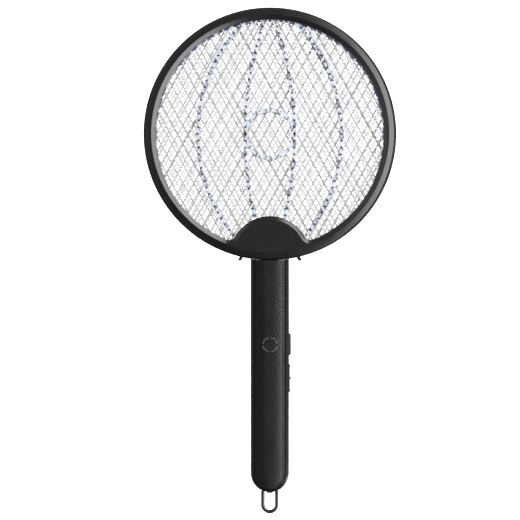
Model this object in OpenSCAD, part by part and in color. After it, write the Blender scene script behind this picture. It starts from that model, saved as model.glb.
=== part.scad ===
/* [Head] */
// Outer radius of the round head
head_r = 111; // [108:1:118]
// Width of the rim, from the head's outside to the open net area
rim_w = 11; // [10.5:0.5:12]
// Thickness of the head, front to back
head_depth = 22; // [22:0.5:25]
// Radius of the domed boss that stands up into the net area
boss_r = 34.9; // [34.5:0.1:36]
// Distance from the head's centre down to the boss's centre
boss_drop = 107; // [106.5:0.1:107.5]
// Depth that the head stands in front of the handle's front face
head_proud = 2; // [2:0.5:4]

/* [Nets] */
// Thickness of each metal net
net_t = 0.8; // [0.6:0.1:1]
// Width of one diamond hole of the two outer nets, strand centre to strand centre
guard_pitch = 9.6; // [9:0.2:12]
// Width of one diamond hole of the live net in the middle
live_pitch = 11.2; // [10:0.2:14]
// Height of a diamond hole as a multiple of its width
diamond_stretch = 1.8; // [1.6:0.05:2]
// Width of a net's strands
strand_w = 1.5; // [1.2:0.1:1.8]
// Width of the curved ribs that keep the nets apart
rib_w = 3.5; // [3:0.1:4]

/* [Handle] */
// Width of the handle
handle_w = 34; // [34:0.5:36]
// Thickness of the handle, front to back
handle_t = 26; // [26:0.5:28]
// Radius of the handle's long corners
corner_r = 8; // [7.5:0.1:8.5]
// Distance from the middle of the grip up to the head's centre
reach = 215; // [215:1:225]
// Distance from the middle of the grip down to the handle's end
tail = 101; // [101:1:110]
// Thickness of the handle's shells
shell_t = 2.8; // [2.8:0.1:3]
// Thickness of the soft panel on the handle's front
panel_t = 1.4; // [1.2:0.1:1.5]

/* [Controls] */
// Height of the light ring and the press button above the middle of the grip
button_z = 30; // [29:0.5:31]
// Length of the press button on the handle's side
button_len = 19.3; // [17:0.1:20]
// Travel of the press button
button_travel = 0.8; // [0.5:0.1:0.8]
// Travel of the slide switch to either side of its middle position
switch_travel = 4; // [3:0.1:4]
// Outer radius of the light ring
ring_r = 6.8; // [6.5:0.1:7]

/* [Hanging loop] */
// Outer width of the hanging loop
loop_w = 15.8; // [15.5:0.1:16]
// Thickness of the loop's round wire
loop_wire = 3.5; // [3:0.1:3.5]
// How far the loop hangs below the handle's end
loop_drop = 18.7; // [17:0.1:25]

/* [Hidden] */
$fn = 72;
eps = 0.01;
charcoal = [0.13, 0.13, 0.135];
near_black = [0.08, 0.08, 0.085];
steel = [0.75, 0.76, 0.78];

// Head: X right, Y up from the head's centre, Z towards the front, with the rim's middle at Z = 0
half_depth = head_depth / 2;
head_y = half_depth - handle_t / 2 - head_proud;
opening_r = head_r - rim_w;
rim_wall = 2.5;
channel_r = head_r - rim_wall;
crest_r = head_r - 6.6;
lip_z = half_depth - 4.8;
boss_skin = 2.5;
boss_wall = 2.3;
net_edge_r = channel_r - 0.6;
boss_gap = 1.1;
live_half = net_t / 2;
spacer_t = lip_z - net_t - live_half;

// Tabs that carry each net's current into the boss: x, and 1, 0 or -1 for front, live or rear
tab_w = 4;
tab_spots = [[-17, 1], [5.5, 0], [17, -1]];

// Violet diodes and their board inside the boss
led_r = 1.5;
led_spots = [-11, 0, 11];
led_board_up = -boss_drop + 22.5;
led_board_t = 1.2;

// Hinge that folds the head back from the handle
pin_r = 1.5;
eye_r = 4;
fold_y = head_y + half_depth - eye_r;
foot_drop = head_r + 0.3;
fold_z = reach - foot_drop + handle_t / 2 + fold_y;
pin_up = fold_z - reach;
pin_in = head_y - fold_y;
tongue_w = 16;
hinge_gap = 0.5;
ear_x = tongue_w / 2 + hinge_gap;
bracket_x = 13.2;
bracket_low = pin_up - 11.5;
bracket_high = pin_up + eye_r + 3;
head_posts = [[-23, -98], [23, -98]];
bracket_posts = [[-5, bracket_low + 3.4], [5, bracket_low + 3.4]];

// Handle: the cavity inside the shells, and the plane where the shells meet
cap_r = handle_w / 2;
cap_z = cap_r - tail;
top_gap = 1;
top_r = head_r + top_gap;
handle_top = reach - top_r;
parting_y = 4;
cavity_x = handle_w / 2 - shell_t;
cavity_y = handle_t / 2 - shell_t;
side_x = handle_w / 2;
panel_edge = 3.2;
control_y = -1;
board_t = 1.6;
board_y = -cavity_y + 3.6;
board_back = board_y + board_t;
board_x = 13;
board_low = -9;
board_high = 62;
screw_r = 1.2;
screw_head_r = 2.2;
shell_screws = [[-9, 73], [9, 73], [0, -88]];
board_posts = [[0, -5.5], [9.5, 16], [-9.5, 57], [9.5, 57]];
tongue_posts = [[-9.5, 91], [9.5, 91]];
battery_r = 9.15;
battery_len = 65;
battery_low = -79;
battery_high = battery_low + battery_len;

// Controls: the ring's middle line, the lenses' heights, and the face of the switches on the board
ring_mid = ring_r - 0.6;
indicator_spots = [15.5, 11.8];
switch_face = cavity_x - 2.2;
usb_y = board_back + 1.6;

// Hanging loop, which turns on its own top bar inside the handle's end
wire_r = loop_wire / 2;
loop_x = loop_w / 2 - wire_r;
loop_bend = 2.5;
bar_z = -tail + 2.6;
loop_arc_z = -tail - loop_drop + wire_r + loop_x;
saddle_x = 2.6;
slot_y = 5.7;

// Centre and radius of the circle through (x_top, z_top), (x_mid, 0) and (x_low, z_low)
function rib_centre(p, q, s) =
    let (
        d = 2 * (p[0] * (q[1] - s[1]) + q[0] * (s[1] - p[1]) + s[0] * (p[1] - q[1])),
        pp = p * p,
        qq = q * q,
        ss = s * s
    )
    [
        (pp * (q[1] - s[1]) + qq * (s[1] - p[1]) + ss * (p[1] - q[1])) / d,
        (pp * (s[0] - q[0]) + qq * (p[0] - s[0]) + ss * (q[0] - p[0])) / d,
    ];

module on_head() {
    translate([0, head_y, reach]) rotate([90, 0, 0]) children();
}

// Children drawn as X and Z, made t thick from y0 towards the back
module upright(y0, t) {
    translate([0, y0 + t, 0]) rotate([90, 0, 0]) linear_extrude(t) children();
}

module along_y(x, z, y0, y1, r) {
    translate([x, y0, z]) rotate([-90, 0, 0]) cylinder(h = y1 - y0, r = r);
}

module along_x(y, z, x0, x1, r) {
    translate([x0, y, z]) rotate([0, 90, 0]) cylinder(h = x1 - x0, r = r);
}

module block(low, high) {
    translate(low) cube(high - low);
}

module rounded_slab(w, t, r) {
    square([w - 2 * r, t], center = true);
    square([w, t - 2 * r], center = true);
    for (sx = [-1, 1], sy = [-1, 1])
        translate([sx * (w / 2 - r), sy * (t / 2 - r)]) circle(r);
}

// Flat bar with round ends, long way along Y of the drawing
module stadium(len, w) {
    square([w, len - w], center = true);
    for (s = [-1, 1])
        translate([0, s * (len - w) / 2]) circle(w / 2);
}

// The same shape standing on the handle's right side, from x0 out to x1
module side_pill(z, len, w, x0, x1) {
    translate([x0, control_y, z]) rotate([90, 0, 90]) linear_extrude(x1 - x0) stadium(len, w);
}

function unit(v) = v / norm(v);

// Direction of a wire at each of its points, half-way between the runs that meet there
function wire_ways(points) =
    let (last = len(points) - 1)
    [
        for (i = [0:last])
            unit(
                (i > 0 ? unit(points[i] - points[i - 1]) : [0, 0, 0])
                + (i < last ? unit(points[i + 1] - points[i]) : [0, 0, 0])
            )
    ];

// Insulated wire of radius r swept along its points, as an eight-sided tube
module wire(points, r) {
    sides = 8;
    last = len(points) - 1;
    ways = wire_ways(points);
    ring_points = [
        for (i = [0:last], k = [0:sides - 1])
            let (across = unit(cross(ways[i], [0.9, 0.35, 0.2])), up = cross(ways[i], across))
                points[i] + r * (cos(360 * k / sides) * across + sin(360 * k / sides) * up)
    ];
    skin = [
        for (i = [0:last - 1], k = [0:sides - 1], half = [0, 1])
            let (a = i * sides + k, b = i * sides + (k + 1) % sides)
                half == 0 ? [a, b, b + sides] : [a, b + sides, a + sides]
    ];
    ends = [[for (k = [sides - 1:-1:0]) k], [for (k = [0:sides - 1]) last * sides + k]];
    polyhedron(ring_points, concat(skin, ends), convexity = 4);
}

module boss_circle(grow) {
    translate([0, -boss_drop]) circle(boss_r + grow);
}

// One half of the head's casing, drawn as the front half
module frame_half() {
    rotate_extrude($fn = 144)
        polygon([
            [head_r, 0], [head_r, half_depth - 4.6], [head_r - 2.2, half_depth - 1.4],
            [crest_r + 0.6, half_depth], [crest_r - 0.6, half_depth],
            [opening_r, half_depth - 2.4], [opening_r, lip_z], [channel_r, lip_z], [channel_r, 0],
        ]);
    intersection() {
        translate([0, -boss_drop, 0]) rotate_extrude($fn = 144)
            polygon([
                [0, half_depth], [boss_r - 2.4, half_depth], [boss_r, half_depth - 2.4], [boss_r, 0],
                [boss_r - boss_wall, 0], [boss_r - boss_wall, half_depth - boss_skin],
                [0, half_depth - boss_skin],
            ]);
        cylinder(h = half_depth, r = crest_r, $fn = 144);
    }
}

// Holes that let the light emitting diodes shine out of the boss's top
module led_holes() {
    for (x = led_spots)
        translate([x, -boss_drop, 0]) rotate([-90, 0, 0])
            cylinder(h = boss_r + 2, r = led_r + 0.2, $fn = 32);
}

module head_front_frame() {
    color(charcoal) on_head() difference() {
        union() {
            frame_half();
            for (p = concat(head_posts, bracket_posts))
                translate([p[0], p[1], 0]) cylinder(h = half_depth - 1, r = 3);
        }
        for (p = concat(head_posts, bracket_posts))
            translate([p[0], p[1], -eps]) cylinder(h = half_depth - 2.5, r = screw_r);
        led_holes();
        net_tab_slots();
    }
}

module head_rear_frame() {
    color(charcoal) on_head() difference() {
        union() {
            mirror([0, 0, 1]) frame_half();
            for (p = head_posts)
                translate([p[0], p[1], -half_depth + 1]) cylinder(h = half_depth - 1, r = 3.4);
        }
        for (p = head_posts) {
            translate([p[0], p[1], -half_depth]) cylinder(h = half_depth + eps, r = screw_r + 0.2);
            translate([p[0], p[1], -half_depth - eps]) cylinder(h = 2 + 2 * eps, r = screw_head_r + 0.3);
        }
        block(
            [-bracket_x - 0.2, -head_r - 1, -half_depth - 1],
            [bracket_x + 0.2, bracket_high + 0.2, eps]
        );
        led_holes();
        net_tab_slots();
    }
}

// Outline of one net or spacer: the round disc with the boss's place left out
module disc_outline(r) {
    difference() {
        circle(r, $fn = 144);
        boss_circle(boss_gap);
    }
}

module net_tab(x) {
    tab_up = sqrt(pow(boss_r + boss_gap + 1, 2) - x * x) - boss_drop;
    translate([x - tab_w / 2, tab_up - 9]) square([tab_w, 9]);
}

module net_tab_slots() {
    for (tab = tab_spots)
        let (mid = tab[1] * (lip_z - live_half))
            translate([0, 0, mid - net_t / 2 - 0.2])
                linear_extrude(net_t + 0.4)
                    tab_slot(tab[0]);
}

module tab_slot(x) {
    translate([x - tab_w / 2 - 0.3, -boss_drop + 20]) square([tab_w + 0.6, boss_r - 18]);
}

module net_sheet(pitch, tab_x) {
    tall = pitch * diamond_stretch;
    slant = strand_w * norm([pitch, tall]) / (2 * tall);
    half_w = pitch / 2 - slant;
    half_h = half_w * diamond_stretch;
    nx = ceil(opening_r / pitch);
    nz = ceil(2 * opening_r / tall);
    linear_extrude(net_t) {
        difference() {
            disc_outline(net_edge_r);
            for (i = [-nx:nx], j = [-nz:nz])
                let (x = (i + (j % 2 == 0 ? 0 : 0.5)) * pitch, z = j * tall / 2)
                    if (norm([x, z]) < opening_r - half_h + 1
                        && norm([x, z + boss_drop]) > boss_r + boss_gap + half_h)
                        translate([x, z])
                            polygon([[half_w, 0], [0, half_h], [-half_w, 0], [0, -half_h]]);
        }
        net_tab(tab_x);
    }
}

module front_net() {
    color(steel) on_head() translate([0, 0, lip_z - net_t]) net_sheet(guard_pitch, tab_spots[0][0]);
}

module rear_net() {
    color(steel) on_head() translate([0, 0, -lip_z]) net_sheet(guard_pitch, tab_spots[2][0]);
}

module live_net() {
    color(steel) on_head() translate([0, 0, -live_half]) net_sheet(live_pitch, tab_spots[1][0]);
}

// Circular band of one rib, which crosses the net area once
module rib_band(centre, r) {
    translate(centre) difference() {
        circle(r + rib_w / 2, $fn = 144);
        circle(r - rib_w / 2, $fn = 144);
    }
}

module spacer() {
    outer_mid = [63.3, 0];
    inner_mid = [21.9, 0];
    linear_extrude(spacer_t) difference() {
        disc_outline(channel_r - 0.3);
        circle(opening_r + 0.2, $fn = 144);
    }
    translate([0, 0, 0.3]) linear_extrude(spacer_t - 0.6) intersection() {
        disc_outline(opening_r + 0.4);
        union() {
            for (side = [-1, 1]) {
                outer = rib_centre([28, 92.7], outer_mid, [31.7, -89]);
                inner = rib_centre([6.3, 94], inner_mid, [13.5, -71.2]);
                rib_band([side * outer[0], outer[1]], norm(outer_mid - outer));
                rib_band([side * inner[0], inner[1]], norm(inner_mid - inner));
            }
            rib_band([0, 0], inner_mid[0] - 0.9);
        }
    }
}

module front_spacer() {
    color([0.2, 0.2, 0.4]) on_head() translate([0, 0, live_half]) spacer();
}

module rear_spacer() {
    color([0.2, 0.2, 0.4]) on_head() mirror([0, 0, 1]) translate([0, 0, live_half]) spacer();
}

module uv_led_board() {
    color("darkgreen") on_head()
        block([-15, led_board_up - led_board_t, -4.5], [15, led_board_up, 4.5]);
}

// Round diodes with domed tips that stand on the board and point up into the nets
module uv_leds() {
    tip = led_board_up + 8.5;
    color([0.75, 0.7, 0.95]) on_head() for (x = led_spots) {
        translate([x, led_board_up, 0]) rotate([-90, 0, 0]) cylinder(h = 1, r = led_r + 0.4);
        translate([x, led_board_up, 0]) rotate([-90, 0, 0]) cylinder(h = tip - led_board_up, r = led_r);
        translate([x, tip, 0]) sphere(led_r);
    }
}

// Leads in the head, from the window in the hinge bracket to the diode board and the nets' tabs
module head_leads() {
    low_face = led_board_up - led_board_t;
    color("firebrick") on_head() for (s = [-1, 1])
        wire([
            [1.6 * s, pin_up, 0.6], [1.6 * s, pin_up, 3],
            [8 * s, low_face - 3, 3], [8 * s, low_face, 3],
        ], 0.6);
}

module hinge_bracket() {
    web_z = pin_in + eye_r + 0.6;
    color(steel) on_head() difference() {
        union() {
            block([-bracket_x, bracket_low, web_z], [bracket_x, bracket_high, -0.1]);
            block(
                [-bracket_x, bracket_high - 2.2, -half_depth + 0.2],
                [bracket_x, bracket_high, web_z + eps]
            );
            for (side = [0, 1])
                mirror([side, 0, 0])
                    block([ear_x, bracket_low, -half_depth + 0.2], [bracket_x, bracket_high, web_z + eps]);
        }
        translate([-bracket_x - 1, pin_up, pin_in]) rotate([0, 90, 0])
            cylinder(h = 2 * bracket_x + 2, r = pin_r);
        for (p = bracket_posts) {
            translate([p[0], p[1], web_z - eps]) cylinder(h = 4, r = screw_r + 0.05);
            translate([p[0], p[1], web_z - eps])
                cylinder(h = 1.25, r1 = screw_head_r + 0.05, r2 = screw_r + 0.05);
        }
        block([-3.5, pin_up - 2, web_z - eps], [3.5, pin_up + 2, 0]);
    }
}

module hinge_pin() {
    color(steel) along_x(fold_y, fold_z, -bracket_x, bracket_x, pin_r);
}

module bracket_screws() {
    web_z = pin_in + eye_r + 0.6;
    color(steel) on_head() for (p = bracket_posts) {
        translate([p[0], p[1], web_z]) cylinder(h = 8, r = screw_r);
        translate([p[0], p[1], web_z]) cylinder(h = 1.2, r1 = screw_head_r, r2 = screw_r);
    }
}

module head_screws() {
    color(steel) on_head() for (p = head_posts) {
        translate([p[0], p[1], -half_depth + 2 - eps]) cylinder(h = half_depth + 4, r = screw_r);
        translate([p[0], p[1], -half_depth + 0.6]) cylinder(h = 1.4, r = screw_head_r);
    }
}

// Two splayed feet, which the head stands on when it is folded back at a right angle
module stand_feet() {
    color(near_black) on_head() for (side = [0, 1])
        mirror([side, 0, 0])
            translate([0, 0, -6]) linear_extrude(12) difference() {
                polygon([[22.4, -104], [25.4, -104], [28.6, -foot_drop], [25.3, -foot_drop]]);
                circle(head_r, $fn = 144);
            }
}

module handle_outline(inset) {
    difference() {
        union() {
            translate([-cap_r + inset, cap_z]) square([handle_w - 2 * inset, handle_top + 6 - cap_z]);
            translate([0, cap_z]) circle(cap_r - inset, $fn = 96);
        }
        translate([0, reach]) circle(top_r + inset, $fn = 144);
    }
}

// The handle's outside, or the same form made smaller all round
module handle_form(inset) {
    intersection() {
        translate([0, 0, -tail])
            linear_extrude(tail + handle_top + 6)
                rounded_slab(handle_w - 2 * inset, handle_t - 2 * inset, corner_r - inset);
        upright(-handle_t / 2, handle_t) handle_outline(inset);
    }
}

module panel_zone(inset) {
    intersection() {
        difference() {
            handle_form(0);
            handle_form(panel_t);
        }
        upright(-handle_t, handle_t - 1) handle_outline(panel_edge + inset);
    }
}

// Holes through the shells' top wall and end wall for the hinge tongue and the hanging loop
module end_cuts() {
    block(
        [-tongue_w / 2 - 0.2, fold_y - eye_r - 0.2, handle_top - 6],
        [tongue_w / 2 + 0.2, fold_y + eye_r + 0.2, handle_top + 3]
    );
    block([-loop_w / 2 - 0.7, -slot_y, -tail - 1], [loop_w / 2 + 0.7, slot_y, bar_z + wire_r + 0.6]);
}

module light_holes() {
    for (a = [45:90:315])
        along_y(ring_mid * cos(a), button_z + ring_mid * sin(a), -handle_t / 2, -cavity_y + 2, 0.5);
    for (z = indicator_spots)
        along_y(0, z, -handle_t / 2 - 1, -cavity_y + 2, 0.65);
}

module handle_front_shell() {
    color(charcoal) difference() {
        intersection() {
            union() {
                difference() {
                    handle_form(0);
                    handle_form(shell_t);
                    panel_zone(-0.2);
                }
                intersection() {
                    handle_form(shell_t - eps);
                    union() {
                        for (p = board_posts)
                            along_y(p[0], p[1], -cavity_y - 0.5, board_y, 2.6);
                        for (p = shell_screws)
                            along_y(p[0], p[1], -cavity_y - 0.5, 0, 3);
                        for (p = tongue_posts)
                            along_y(p[0], p[1], -cavity_y - 0.5, fold_y - eye_r, 3);
                    }
                }
            }
            block([-side_x - 1, -handle_t, -tail - 1], [side_x + 1, parting_y, handle_top + 9]);
        }
        for (p = board_posts)
            along_y(p[0], p[1], -cavity_y, board_y + 1, screw_r - 0.2);
        for (p = concat(shell_screws, tongue_posts))
            along_y(p[0], p[1], -cavity_y, 4, screw_r);
        light_holes();
        end_cuts();
        side_pill(button_z, button_len + 0.7, 7.2, cavity_x - 1, side_x + 1);
        side_pill(0, 20.6, 5, cavity_x - 1, side_x + 1);
        translate([-side_x - 1, usb_y, 0]) rotate([90, 0, 90])
            linear_extrude(4) stadium(9.6, 3.8);
    }
}

module handle_rear_shell() {
    color(charcoal) difference() {
        intersection() {
            union() {
                difference() {
                    handle_form(0);
                    handle_form(shell_t);
                }
                intersection() {
                    handle_form(shell_t - eps);
                    for (p = shell_screws)
                        along_y(p[0], p[1], 0, cavity_y + 0.5, 3.2);
                }
            }
            union() {
                block([-side_x - 1, parting_y, -tail - 1], [side_x + 1, handle_t, handle_top + 9]);
                for (p = shell_screws)
                    along_y(p[0], p[1], 0, cavity_y + 0.5, 3.2);
            }
        }
        for (p = shell_screws) {
            along_y(p[0], p[1], -1, handle_t, screw_r + 0.2);
            along_y(p[0], p[1], handle_t / 2 - 2, handle_t, screw_head_r + 0.3);
        }
        end_cuts();
    }
}

module grip_panel() {
    color(near_black) difference() {
        panel_zone(0);
        upright(-handle_t / 2 - 1, panel_t + 2) translate([0, button_z]) difference() {
            circle(ring_r + 0.05);
            circle(ring_r - 1.25);
        }
        for (z = indicator_spots)
            along_y(0, z, -handle_t / 2 - 1, 0, 0.65);
    }
}

// Four translucent arcs of the light ring, each with a peg that leads the light in
module ring_light() {
    front = -handle_t / 2;
    color("gray") {
        upright(front, panel_t) translate([0, button_z]) difference() {
            circle(ring_r);
            circle(ring_r - 1.2);
            for (a = [0, 90])
                rotate(a) square([2 * ring_r + 2, 2], center = true);
        }
        for (a = [45:90:315])
            let (x = ring_mid * cos(a), z = button_z + ring_mid * sin(a))
                along_y(x, z, front + panel_t - eps, board_y - 1.2, 0.5);
    }
}

module ring_spacers() {
    front = -handle_t / 2;
    color("black") for (a = [0:90:270])
        along_y(ring_mid * cos(a), button_z + ring_mid * sin(a), front, front + panel_t, 0.6);
}

module indicator_lenses() {
    color("black") for (z = indicator_spots)
        along_y(0, z, -handle_t / 2, board_y - 1.2, 0.65);
}

module main_board() {
    color("darkgreen") difference() {
        block([-board_x, board_y, board_low], [board_x, board_back, board_high]);
        for (p = board_posts)
            along_y(p[0], p[1], board_y - 1, board_back + 1, screw_r);
    }
}

module board_screws() {
    color(steel) for (p = board_posts) {
        along_y(p[0], p[1], -cavity_y + 1, board_back + 0.5, screw_r - 0.2);
        along_y(p[0], p[1], board_back, board_back + 1.4, 2);
    }
}

module status_leds() {
    color("white") {
        for (a = [45:90:315])
            translate([ring_mid * cos(a), board_y - 0.4, button_z + ring_mid * sin(a)])
                cube([1.6, 0.8, 1.6], center = true);
        for (z = indicator_spots)
            translate([0, board_y - 0.4, z]) cube([1.6, 0.8, 1], center = true);
    }
}

module tact_switch() {
    color("dimgray") difference() {
        block(
            [switch_face - 3.6, board_back, button_z - 3.2],
            [switch_face, board_back + 7, button_z + 3.2]
        );
        along_x(control_y, button_z, switch_face - 2, switch_face + 1, 1.5);
    }
}

module slide_switch_body() {
    slot = switch_travel + 1.6;
    color("silver") difference() {
        block([switch_face - 4, board_back, -8.5], [switch_face, board_back + 7, 8.5]);
        block([switch_face - 2, control_y - 1.4, -slot], [switch_face + 1, control_y + 1.4, slot]);
    }
}

module usb_c_socket() {
    color(steel) {
        translate([-side_x + 0.5, usb_y, 0]) rotate([90, 0, 90]) difference() {
            linear_extrude(7.4) stadium(9, 3.2);
            translate([0, 0, -eps]) linear_extrude(6.4) stadium(8.4, 2.6);
        }
        translate([-side_x + 1.4, usb_y - 0.35, -3.3]) cube([6, 0.7, 6.6]);
    }
}

module transformer_core() {
    z0 = 37;
    color("dimgray") difference() {
        block([-11, board_back + 1.2, z0], [5, board_back + 12, z0 + 15]);
        block([-8.5, board_back + 1, z0 + 3], [-5, board_back + 13, z0 + 12]);
        block([-1, board_back + 1, z0 + 3], [2.5, board_back + 13, z0 + 12]);
    }
}

module transformer_coil() {
    z0 = 37;
    color("peru") difference() {
        block([-8.3, board_back, z0 + 3.2], [2.3, board_back + 11.4, z0 + 11.8]);
        block([-5.2, board_back + 1, z0 + 2], [-0.8, board_back + 14, z0 + 13]);
    }
}

module hv_capacitors() {
    color("saddlebrown") for (i = [0:2])
        block([-11, board_back, 11 + 6.5 * i], [0, board_back + 9, 16.5 + 6.5 * i]);
}

module board_chips() {
    color("black") {
        block([-4, board_back, 1], [1, board_back + 1.6, 7]);
        block([2.5, board_back, 12], [6.5, board_back + 1.5, 17]);
        block([-2, board_back, 54], [3, board_back + 1.8, 59]);
    }
}

module battery() {
    color("steelblue") translate([0, 0, battery_low]) cylinder(h = battery_len, r = battery_r);
    color(steel) translate([0, 0, battery_high - eps]) cylinder(h = 1, r = 3.5);
}

module battery_tabs() {
    color(steel) {
        block([-3, -3, battery_high + 1 - eps], [3, 3, battery_high + 1.3]);
        block([-3, -3, battery_low - 0.3], [3, 3, battery_low]);
    }
}

// Foam pads that hold the cell against the shells
module battery_pads() {
    color("gray") for (z = [battery_low + 10, battery_high - 18])
        difference() {
            block([-7, battery_r - 4, z], [7, cavity_y, z + 8]);
            translate([0, 0, z - 1]) cylinder(h = 10, r = battery_r);
        }
}

module battery_leads() {
    top = battery_high + 1.9;
    low = battery_low - 0.9;
    color("firebrick")
        wire([[0, 0, top], [6, 3, top + 0.6], [6, board_back + 1.5, -7], [6, board_back, -7]], 0.6);
    color("black")
        wire([
            [0, 0, low], [-8, -5, low], [-11.4, -6.4, low + 10], [-11.4, -6.4, board_low - 6],
            [-6, board_back + 2, board_low - 1.5], [-6, board_back + 2, -7], [-6, board_back, -7],
        ], 0.6);
}

// Leads that climb from the board's end through the channel in the hinge tongue
module hinge_leads() {
    color("firebrick") for (x = [-1.6, 1.6])
        wire([
            [x, board_back, 60], [x, board_back + 2, 60], [x, board_back + 2, 80],
            [x, fold_y - eye_r + 1, 86], [x, fold_y - eye_r + 1, fold_z - 2.6],
        ], 0.6);
}

module hinge_tongue() {
    y0 = fold_y - eye_r;
    y1 = fold_y + eye_r;
    color(steel) difference() {
        union() {
            block([-12.5, y0, 84], [12.5, y1, handle_top - shell_t - 2]);
            block([-tongue_w / 2, y0, 90], [tongue_w / 2, y1, fold_z]);
            along_x(fold_y, fold_z, -tongue_w / 2, tongue_w / 2, eye_r);
        }
        along_x(fold_y, fold_z, -tongue_w, tongue_w, pin_r + 0.06);
        block([-3, y0 - 1, 80], [3, y0 + 2, fold_z - 1.8]);
        for (p = tongue_posts)
            along_y(p[0], p[1], y0 - 1, y1 + 1, screw_r + 0.1);
    }
}

module tongue_screws() {
    color(steel) for (p = tongue_posts) {
        along_y(p[0], p[1], -cavity_y + 1, fold_y + eye_r + 0.5, screw_r);
        along_y(p[0], p[1], fold_y + eye_r, fold_y + eye_r + 1.5, screw_head_r);
    }
}

module handle_screws() {
    color(steel) for (p = shell_screws) {
        along_y(p[0], p[1], -cavity_y + 1, handle_t / 2 - 1.5, screw_r);
        along_y(p[0], p[1], handle_t / 2 - 2, handle_t / 2 - 0.6, screw_head_r);
    }
}

module loop_saddle() {
    color(near_black) difference() {
        union() {
            block([-saddle_x, -slot_y + 0.2, -tail + 0.1], [saddle_x, slot_y - 0.2, bar_z + 4]);
            block([-saddle_x, -cavity_y, bar_z + 2.4], [saddle_x, cavity_y, bar_z + 5.4]);
        }
        along_x(0, bar_z, -saddle_x - 1, saddle_x + 1, wire_r + 0.08);
    }
}

module side_button() {
    out = 1.6;
    color(near_black) {
        side_pill(button_z, button_len, 6.5, cavity_x - 0.3, side_x + out);
        side_pill(button_z, button_len + 2.6, 7.4, cavity_x - 1.2, cavity_x - 0.2);
    }
}

module button_plunger() {
    color("black")
        along_x(control_y, button_z, switch_face - 0.8, cavity_x - 1.2, 1.4);
}

// Bezel around the slide switch, with a raised bump at each end
module switch_bezel() {
    color(near_black) difference() {
        union() {
            side_pill(0, 20.4, 4.8, cavity_x, side_x);
            side_pill(0, 24.6, 5.4, side_x, side_x + 0.7);
            intersection() {
                for (s = [-1, 1])
                    translate([side_x, control_y, s * 11.05]) rotate([90, 0, 0])
                        cylinder(h = 3.6, r = 1.2, center = true, $fn = 32);
                block([side_x, control_y - 3, -14], [side_x + 2, control_y + 3, 14]);
            }
        }
        block(
            [cavity_x - 1, control_y - 1.6, -switch_travel - 3.4],
            [side_x + 3, control_y + 1.6, switch_travel + 3.4]
        );
        block([cavity_x - 3, control_y - 9, -20], [cavity_x, control_y + 9, 20]);
    }
}

module switch_knob() {
    color(charcoal) {
        block([cavity_x - 0.3, control_y - 1.3, -3], [side_x + 0.6, control_y + 1.3, 3]);
        block([side_x + 0.6 - eps, control_y - 1.3, -0.8], [side_x + 1.4, control_y + 1.3, 0.8]);
        translate([side_x + 1.3, control_y, 0]) rotate([90, 0, 0])
            cylinder(h = 2.6, r = 0.8, center = true, $fn = 32);
        block([cavity_x - 1.2, control_y - 2.6, -5], [cavity_x - 0.3 + eps, control_y + 2.6, 5]);
    }
}

module switch_slider() {
    color("black")
        block([switch_face - 1.2, control_y - 1.1, -1.2], [cavity_x - 1.2, control_y + 1.1, 1.2]);
}

module loop_corner(side) {
    translate([side * (loop_x - loop_bend), 0, bar_z - loop_bend]) rotate([90, 0, 0])
        rotate(side > 0 ? 0 : 90)
            rotate_extrude(angle = 90, $fn = 48) translate([loop_bend, 0]) circle(wire_r, $fn = 32);
}

module hanging_loop() {
    color(near_black) {
        along_x(0, bar_z, -loop_x + loop_bend, loop_x - loop_bend, wire_r, $fn = 32);
        for (side = [-1, 1]) {
            loop_corner(side);
            translate([side * loop_x, 0, loop_arc_z])
                cylinder(h = bar_z - loop_bend - loop_arc_z, r = wire_r, $fn = 32);
        }
        translate([0, 0, loop_arc_z]) rotate([90, 0, 0]) rotate(180)
            rotate_extrude(angle = 180, $fn = 64) translate([loop_x, 0]) circle(wire_r, $fn = 32);
    }
}

head_front_frame();
head_rear_frame();
front_spacer();
rear_spacer();
front_net();
live_net();
rear_net();
uv_led_board();
uv_leds();
head_leads();
hinge_bracket();
hinge_pin();
bracket_screws();
head_screws();
stand_feet();
handle_front_shell();
handle_rear_shell();
grip_panel();
ring_light();
ring_spacers();
indicator_lenses();
switch_bezel();
main_board();
board_screws();
status_leds();
tact_switch();
slide_switch_body();
usb_c_socket();
transformer_core();
transformer_coil();
hv_capacitors();
board_chips();
battery();
battery_tabs();
battery_pads();
battery_leads();
hinge_leads();
hinge_tongue();
tongue_screws();
handle_screws();
loop_saddle();
side_button();
button_plunger();
switch_knob();
switch_slider();
hanging_loop();
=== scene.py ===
import math

import bmesh
import bpy
import numpy as np
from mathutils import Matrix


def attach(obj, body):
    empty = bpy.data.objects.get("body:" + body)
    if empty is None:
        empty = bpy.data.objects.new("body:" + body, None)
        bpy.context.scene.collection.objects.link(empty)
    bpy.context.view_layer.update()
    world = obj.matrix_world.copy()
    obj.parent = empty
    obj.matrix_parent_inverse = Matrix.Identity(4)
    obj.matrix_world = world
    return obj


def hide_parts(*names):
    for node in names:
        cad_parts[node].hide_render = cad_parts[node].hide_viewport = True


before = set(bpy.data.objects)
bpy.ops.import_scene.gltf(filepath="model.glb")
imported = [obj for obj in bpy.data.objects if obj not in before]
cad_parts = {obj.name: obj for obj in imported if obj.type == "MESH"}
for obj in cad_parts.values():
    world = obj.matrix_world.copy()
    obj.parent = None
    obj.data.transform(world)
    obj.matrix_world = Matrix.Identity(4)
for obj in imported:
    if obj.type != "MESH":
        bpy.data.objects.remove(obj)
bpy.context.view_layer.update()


# ---------------------------------------------------------------- head casing
# Two hollow injection mouldings in charcoal ABS, front and rear: a rim with a bevelled face and
# a domed boss at its foot, joined by a small fillet. The halves meet at the rim's middle and
# are held by screws through the boss. The rear half has a window for the hinge.
MM = 0.001
HEAD_UP, HEAD_BACK = 215.0, -4.0
RIM_EDGE, BOSS_R, BOSS_DROP, FILLET = 100.2, 34.9, 107.0, 6.0
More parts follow.
